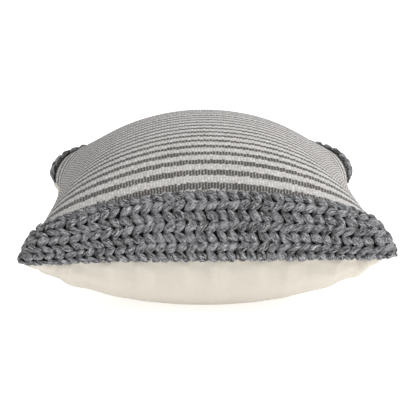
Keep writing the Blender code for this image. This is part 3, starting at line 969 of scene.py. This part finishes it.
def make_inner_sheet(face, inset):
    skin = Skin(face, inset)
    share = np.linspace(0, 1, INSERT_CELLS + 1)
    fs, ft = np.meshgrid(share, share, indexing="ij")
    inner = np.clip(np.minimum(1 - abs(2 * fs - 1), 1 - abs(2 * ft - 1)) / RIPPLE_FADE, 0, 1)
    ripple = np.sin(37 * fs + 2 * np.sin(7 * ft)) * np.sin(29 * ft + 2 * np.sin(5 * fs))
    top = RIPPLE * ripple * inner if face > 0 else 0.0
    return skin.lay(fs, ft, top), fs, ft


def make_casing(face, name, node):
    points, fs, ft = make_inner_sheet(face, CASING_INSET)
    casing = mesh_piece(name, points.reshape(-1, 3),
                        lattice_faces(*fs.shape, flip=face < 0))
    set_uv(casing, np.stack([fs * CLOTH, ft * CLOTH], axis=-1).reshape(-1, 2))
    thicken(casing, CASING_THICKNESS, -1)
    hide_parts(node)
    report(casing)
    return casing


def make_filling():
    top, fs, ft = make_inner_sheet(1, FILLING_INSET)
    bottom, _, _ = make_inner_sheet(-1, FILLING_INSET)
    count = fs.size
    faces = lattice_faces(*fs.shape)
    faces += [[count + k for k in face] for face in lattice_faces(*fs.shape, flip=True)]
    body = mesh_piece("fibre_fill", np.concatenate([top.reshape(-1, 3),
                                                    bottom.reshape(-1, 3)]),
                      faces)
    work = bmesh.new()
    work.from_mesh(body.data)
    bmesh.ops.remove_doubles(work, verts=work.verts, dist=ZIP_SLIT * 1.2)
    work.to_mesh(body.data)
    work.free()
    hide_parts("fibre_filling")
    report(body)
    return body


white = plain_cloth_finish("white_casing_cloth", (0.86, 0.86, 0.84), (0.78, 0.78, 0.76))
white.give(make_casing(1, "insert_casing_top", "insert_top_ticking"))
white.give(make_casing(-1, "insert_casing_bottom", "insert_bottom_ticking"))


def fibre_finish():
    finish = Finish("polyester_fibre", roughness=1.0, sheen=0.4, specular=0.05)
    tangle = finish.noise(finish.place(), 260.0, 6.0, 0.7)
    finish.set("Base Color", finish.mix(tangle, (0.80, 0.80, 0.80), (0.93, 0.93, 0.92)))
    finish.set("Normal", finish.bump(tangle, 0.003, 0.8))
    return finish


fibre_finish().give(make_filling())

# %% [markdown]
# ## Sewing thread
#
# Every seam is a row of lockstitches. Seen from outside, each stitch is a short length of
# thread that thins where it enters the cloth, with a small gap before the next. So a stitch is
# a short closed tube along its own part of the seam's line, and all of them share one pattern
# of faces.

# %% A row of stitches
THREAD = 0.00032               # radius of the sewing thread
STITCH_PITCH = 0.0030
STITCH_SHARE = 0.80            # part of the pitch that the thread shows
STITCH_STEPS = 10              # places along the line for one pitch
STITCH_END = 0.45              # radius at its ends, as a share of the middle's


def spaced(points, count):
    """The same line with count points at equal distances."""
    steps = np.linalg.norm(np.diff(points, axis=0), axis=1)
    length = np.concatenate([[0], np.cumsum(steps)])
    share = np.linspace(0, length[-1], count)
    return np.stack([np.interp(share, length, points[:, k]) for k in range(3)], axis=1)


def make_stitches(name, line, node, pitch=STITCH_PITCH):
    length = np.linalg.norm(np.diff(line, axis=0), axis=1).sum()
    count = int(length / pitch)
    sides, rings = 6, 4
    ends = spaced(line, count * STITCH_STEPS + 1)
    shown = round(STITCH_STEPS * STITCH_SHARE)
    radius = THREAD * np.array([STITCH_END, 1, 1, STITCH_END])
    up = np.array([0, 0, 1])
    part = closed_tube_faces(rings, sides)
    points, faces = [], []
    for n in range(count):
        first = n * STITCH_STEPS
        places = spaced(ends[first:first + 1 + shown], rings)
        tube = tube_rings(places, radius, sides, up)
        faces += [[k + n * rings * sides for k in face] for face in part]
        points.append(tube.reshape(-1, 3))
    stitches = mesh_piece(name, np.concatenate(points), faces)
    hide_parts(node)
    report(stitches)
    return stitches


def thread_finish():
    finish = Finish("cotton_thread", roughness=0.75, sheen=0.2, specular=0.25)
    twist = finish.noise(finish.place(), 2600.0, 1.0)
    finish.set("Base Color", finish.mix(twist, (0.42, 0.39, 0.34), (0.68, 0.64, 0.57)))
    finish.set("Normal", finish.bump(twist, 0.0003, 0.7))
    return finish


# %% The cover's seams and joins
thread = thread_finish()
steps = np.linspace(0, 1, LATTICE)
RIM_LIFT = 0.0004              # the thread's line lies this far outside the slit
ZIP_END_ROOM = 0.004           # the side seams' thread stops this far from the zip tape
JOIN_IN = 0.0012               # the joins' thread lies this far inside the knit's edge
JOIN_LIFT = 0.0016             # and this far above the skin
JOIN_PITCH = 0.004


def rim(fs, ft):
    """A line just outside the slit between the two faces."""
    upper, lower = front_skin.lay(fs, ft), back_skin.lay(fs, ft)
    outward = (upper + lower) / 2 * [1, 1, 0]
    outward /= np.linalg.norm(outward, axis=1, keepdims=True)
    return (upper + lower) / 2 + outward * RIM_LIFT


def side_seam(side, name, node):
    """From the front corner along the side, then round the rear corner up to the zip."""
    edge = np.full(LATTICE, 0.5 + side / 2)
    along = rim(edge, steps)
    across = rim(0.5 + side * (0.5 - steps / 2), np.ones(LATTICE))
    beyond_zip = across[np.abs(across[:, 0]) > tape_high.x + ZIP_END_ROOM]
    line = np.concatenate([along, beyond_zip[1:]])
    thread.give(make_stitches(name, line, node))


side_seam(-1, "left_seam_stitches", "left_seam_thread")
side_seam(1, "right_seam_stitches", "right_seam_thread")
front_line = rim(steps, np.zeros(LATTICE))
thread.give(make_stitches("front_seam_stitches", front_line, "front_seam_thread"))
for join_end, join_name in ((-1, "front"), (1, "rear")):
    join_s = (steps - 0.5) * CLOTH
    join_t = join_end * (CLOTH / 2 - BAND_DEPTH + JOIN_IN)
    join_line = on_front(join_s, join_t, JOIN_LIFT)
    join = make_stitches(join_name + "_join_stitches", join_line,
                         join_name + "_band_join_thread", pitch=JOIN_PITCH)
    thread.give(join)

# %% [markdown]
# ### The insert's overlocked edge
#
# The casing is closed by an overlock seam, a thread that zigzags over the raw edge. It is one
# continuous line that swings from side to side of the seam, so it is one long thin tube.


# %% Overlock thread round the insert
EDGE_PLACES = 140              # places along each side of the insert
SWINGS = 1120                  # turns of the thread in the whole seam
SWING_OUT = 0.0007             # how far it lies outside the casing's edge
SWING_WIDTH = 0.0011           # how far it swings up and down from there
OVERLOCK_THREAD = 0.00025      # its radius
OVERLOCK_SIDES = 5


def make_overlock():
    top = Skin(1, CASING_INSET)
    side = np.linspace(0, 1, EDGE_PLACES)
    zeros, ones = np.zeros(EDGE_PLACES), np.ones(EDGE_PLACES)
    path = ((side, zeros), (ones, side), (side[::-1], ones), (zeros, side[::-1]))
    line = np.concatenate([top.lay(fs, ft)[:-1] for fs, ft in path])
    line = spaced(np.concatenate([line, line[:1]]), SWINGS + 1)[:-1]
    swing = np.where(np.arange(len(line)) % 2 == 0, 1, -1)
    outward = line * [1, 1, 0]
    outward /= np.linalg.norm(outward, axis=1, keepdims=True)
    line = line + outward * SWING_OUT + swing[:, None] * np.array([0, 0, SWING_WIDTH])
    rings = tube_rings(line, OVERLOCK_THREAD, OVERLOCK_SIDES, np.array([0.0, 0.0, 1.0]))
    seam = mesh_piece("insert_overlock", rings.reshape(-1, 3),
                      closed_tube_faces(len(line), OVERLOCK_SIDES))
    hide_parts("insert_seam_thread")
    report(seam)
    return seam


thread.give(make_overlock())

# %% [markdown]
# ## The concealed zip
#
# The zip sits behind the rear seam: two cotton tapes, each with a nylon coil sewn to its edge,
# and a slider that pulls the coils together. Only the slider's plate and its tab come out
# through the slit. A coil is a fine monofilament wound in turns, so each one is a real helix,
# made with sine and cosine.

# %% Nylon coils
COIL_TURN = 0.0016             # distance between turns
COIL_WIRE = 0.00034            # radius of the monofilament
COIL_STEPS = 10                # points in one turn
COIL_SIDES = 5


def make_coil(name, node):
    low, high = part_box(node)
    middle_y, middle_z = (low.y + high.y) / 2, (low.z + high.z) / 2
    radius = (high.z - low.z) / 2 - COIL_WIRE
    turns = int((high.x - low.x - 2 * COIL_WIRE) / COIL_TURN)
    angle = 2 * np.pi * np.arange(turns * COIL_STEPS + 1) / COIL_STEPS
    x = low.x + COIL_WIRE + COIL_TURN * angle / (2 * np.pi)
    line = np.stack([x, middle_y + radius * np.cos(angle), middle_z + radius * np.sin(angle)],
                    axis=1)
    rings = tube_rings(line, COIL_WIRE, COIL_SIDES, np.array([1.0, 0.0, 0.0]))
    coil = mesh_piece(name, rings.reshape(-1, 3), closed_tube_faces(len(line), COIL_SIDES))
    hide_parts(node)
    report(coil)
    return coil


def nylon_finish():
    finish = Finish("coil_nylon", roughness=0.38, specular=0.5)
    cloud = finish.noise(finish.place(), 500.0, 2.0)
    finish.set("Base Color", finish.mix(cloud, (0.58, 0.54, 0.47), (0.68, 0.64, 0.57)))
    finish.set("Roughness", cloud * 0.2 + 0.30)
    return finish


nylon = nylon_finish()
nylon.give(make_coil("upper_coil", "zipper_coil_upper"))
nylon.give(make_coil("lower_coil", "zipper_coil_lower"))

# %% [markdown]
# ### Tapes and their stitching
#
# Each tape is a narrow woven strip. It starts as a grid from the add menu. A loop moves the
# grid's vertices upright to the tape's place, with a slight sway, and Solidify makes it thick.

# %% Zip tapes
TAPE_SWAY = 0.00012            # how far the tape strays from a flat plane
TAPE_SHARE = 0.8               # part of the frame's thickness that the cloth fills


def make_tape(name, node):
    low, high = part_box(node)
    bpy.ops.object.select_all(action="DESELECT")
    bpy.ops.mesh.primitive_grid_add(x_subdivisions=120, y_subdivisions=6, size=1)
    tape = bpy.context.object
    tape.name = name
    middle_y = (low.y + high.y) / 2
    uv = []
    for vertex in tape.data.vertices:
        share_x, share_z = vertex.co.x + 0.5, vertex.co.y + 0.5
        sway = TAPE_SWAY * math.sin(share_x * 61) * math.sin(share_z * math.pi)
        vertex.co = (low.x + share_x * (high.x - low.x), middle_y + sway,
                     low.z + share_z * (high.z - low.z))
        uv.append((vertex.co.x, vertex.co.z))
    tape.data.uv_layers.remove(tape.data.uv_layers[0])
    set_uv(tape, uv)
    thicken(tape, (high.y - low.y) * TAPE_SHARE, 0)
    tape.data.shade_smooth()
    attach(tape, "cover")
    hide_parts(node)
    report(tape)
    return tape


tape_cloth = plain_cloth_finish("zip_tape_cloth", (0.62, 0.575, 0.50), (0.50, 0.46, 0.40),
                                thread=0.0009)
STITCH_INSET = 0.001           # the stitching starts this far from the tape's ends
for half in ("upper", "lower"):
    tape_cloth.give(make_tape(half + "_tape", "zipper_tape_" + half))
    stitch_low, stitch_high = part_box("zipper_thread_" + half)
    stitch_y = (stitch_low.y + stitch_high.y) / 2
    stitch_z = (stitch_low.z + stitch_high.z) / 2
    stitch_line = np.array([[stitch_low.x + STITCH_INSET, stitch_y, stitch_z],
                            [stitch_high.x - STITCH_INSET, stitch_y, stitch_z]])
    thread.give(make_stitches(half + "_tape_stitches", stitch_line, "zipper_thread_" + half))

# %% [markdown]
# ### Stops, slider and pull tab
#
# These are small die-cast or stamped metal parts. Their shapes in the frame are right, but
# every edge there is razor sharp. Each visible piece is a copy of the frame's mesh: its
# triangles are merged and dissolved into flat faces, and a Bevel rounds the edges the way
# tumbling does.


# %% Bevelled metal
MERGE_DISTANCE = 0.00001
FLAT_ANGLE = math.radians(3)   # faces that meet at less are one flat face
EDGE_ANGLE = math.radians(40)  # edges that turn more than this are rounded
SHADE_ANGLE = math.radians(35)


def make_metal(name, node, body, width):
    copy = bpy.data.objects[node].copy()
    copy.data = bpy.data.objects[node].data.copy()
    copy.name = name
    bpy.context.scene.collection.objects.link(copy)
    work = bmesh.new()
    work.from_mesh(copy.data)
    bmesh.ops.remove_doubles(work, verts=work.verts, dist=MERGE_DISTANCE)
    bmesh.ops.dissolve_limit(work, angle_limit=FLAT_ANGLE, verts=work.verts, edges=work.edges)
    work.to_mesh(copy.data)
    work.free()
    select_only(copy)
    edge = copy.modifiers.new("rounded_edges", "BEVEL")
    edge.width = width
    edge.segments = 3
    edge.limit_method = "ANGLE"
    edge.angle_limit = EDGE_ANGLE
    bpy.ops.object.modifier_apply(modifier=edge.name)
    bpy.ops.object.shade_smooth_by_angle(angle=SHADE_ANGLE)
    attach(copy, body)
    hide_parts(node)
    report(copy)
    return copy


def metal_finish():
    finish = Finish("satin_nickel", roughness=0.34, metallic=1.0, specular=0.5)
    wear = finish.noise(finish.place(), 700.0, 3.0)
    scratch = finish.noise(finish.point(finish.node("SeparateXYZ", inputs={0: finish.place()}),
                                        wear * 0.2), 1800.0, 2.0)
    finish.set("Base Color", finish.mix(wear, (0.36, 0.35, 0.34), (0.50, 0.49, 0.47)))
    finish.set("Roughness", scratch * 0.25 + 0.22)
    finish.set("Normal", finish.bump(scratch, 0.00008, 0.5))
    return finish


nickel = metal_finish()
metal_pieces = (("upper_top_stop", "zipper_top_stop_upper", "cover", 0.00025),
                ("lower_top_stop", "zipper_top_stop_lower", "cover", 0.00025),
                ("bottom_stop", "zipper_bottom_stop", "cover", 0.00035),
                ("slider", "zipper_slider", "slider", 0.00018),
                ("pull_tab", "zipper_pull_tab", "pull_tab", 0.00022))
for metal_name, metal_node, metal_body, metal_edge in metal_pieces:
    nickel.give(make_metal(metal_name, metal_node, metal_body, metal_edge))

# %% [markdown]
# ## Care label
#
# A small blank cloth label is caught in the rear seam beyond the zip and stays inside. It is a
# grid that curls a little towards its free edge. Nothing is written on it.


# %% Care label
LABEL_POINTS = 25              # points of its grid each way
LABEL_CURL = 0.0005            # how far its free edge leans back
LABEL_WAVE = 0.0002
LABEL_THICKNESS = 0.0003


def make_label():
    low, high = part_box("care_label")
    share = np.linspace(0, 1, LABEL_POINTS)
    across, up = np.meshgrid(share, share, indexing="ij")
    x = low.x + across * (high.x - low.x)
    z = low.z + up * (high.z - low.z)
    y = (low.y + high.y) / 2 - LABEL_CURL * up ** 2 + LABEL_WAVE * np.sin(9 * across) * up
    label = mesh_piece("blank_label", np.stack([x, y, z], axis=-1).reshape(-1, 3),
                       lattice_faces(*x.shape))
    set_uv(label, np.stack([x, z], axis=-1).reshape(-1, 2))
    thicken(label, LABEL_THICKNESS, 0)
    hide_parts("care_label")
    report(label)
    return label


plain_cloth_finish("label_satin", (0.84, 0.83, 0.80), (0.76, 0.75, 0.72), thread=0.0004,
                   roughness=0.55).give(make_label())

# %% [markdown]
# ## A plain studio
#
# The floor is pale and plain and glows a little, so that hardly any shadow shows on it. The
# light is soft and comes from the upper right, and a bright sky fills in the rest. The camera
# stands low in front of the pillow, a little to its left, with a long lens so that the far
# corners are not much smaller than the near ones.

# %% Floor
FLOOR_SIDE = 60                # so wide that its far edge lies out of sight
FLOOR_GAP = 0.0005             # between the floor and the pillow
FLOOR_GLOW = 0.56
bpy.ops.object.select_all(action="DESELECT")
bpy.ops.mesh.primitive_plane_add(size=FLOOR_SIDE, location=(0, 0, -FLOOR_GAP))
floor = bpy.context.object
floor.name = "studio_floor"
floor_finish = Finish("pale_floor", roughness=0.8, specular=0.1)
floor_finish.set("Base Color", (0.92, 0.92, 0.92))
floor_finish.set("Emission Color", (1.0, 1.0, 1.0))
floor_finish.set("Emission Strength", FLOOR_GLOW)
floor_finish.give(floor)

# %% Sky and lamps
scene = bpy.context.scene
world = bpy.data.worlds.new("studio")
scene.world = world
world.use_nodes = True
world.node_tree.nodes["Background"].inputs["Color"].default_value = (1.0, 1.0, 1.0, 1.0)
world.node_tree.nodes["Background"].inputs["Strength"].default_value = 0.75


def add_lamp(name, place, aim, size, power):
    light = bpy.data.lights.new(name, "AREA")
    light.shape = "DISK"
    light.size = size
    light.energy = power
    lamp = bpy.data.objects.new(name, light)
    lamp.location = place
    lamp.rotation_mode = "QUATERNION"
    lamp.rotation_quaternion = (Vector(aim) - Vector(place)).to_track_quat("-Z", "Y")
    scene.collection.objects.link(lamp)
    return lamp


add_lamp("key", (1.7, -0.8, 1.4), (0, 0, 0.1), 0.9, 42)
add_lamp("top", (0.1, 0.5, 2.0), (0, 0, 0.1), 1.2, 13)

# %% Camera
CAMERA_AZIMUTH = math.radians(-1.23)
CAMERA_ELEVATION = math.radians(14.8)
CAMERA_DISTANCE = 1.75
camera_data = bpy.data.cameras.new("studio_camera")
camera_data.lens = 118.56
camera_data.sensor_width = 36
camera_data.shift_x = 0.0082
camera_data.shift_y = 0.0013
camera = bpy.data.objects.new("studio_camera", camera_data)
scene.collection.objects.link(camera)
back = Vector((math.sin(CAMERA_AZIMUTH) * math.cos(CAMERA_ELEVATION),
               -math.cos(CAMERA_AZIMUTH) * math.cos(CAMERA_ELEVATION),
               math.sin(CAMERA_ELEVATION)))
camera.location = Vector((0, 0, REST_DEPTH)) + back * CAMERA_DISTANCE
camera.rotation_mode = "QUATERNION"
camera.rotation_quaternion = (-back).to_track_quat("-Z", "Y")
scene.camera = camera
scene.view_settings.view_transform = "Standard"
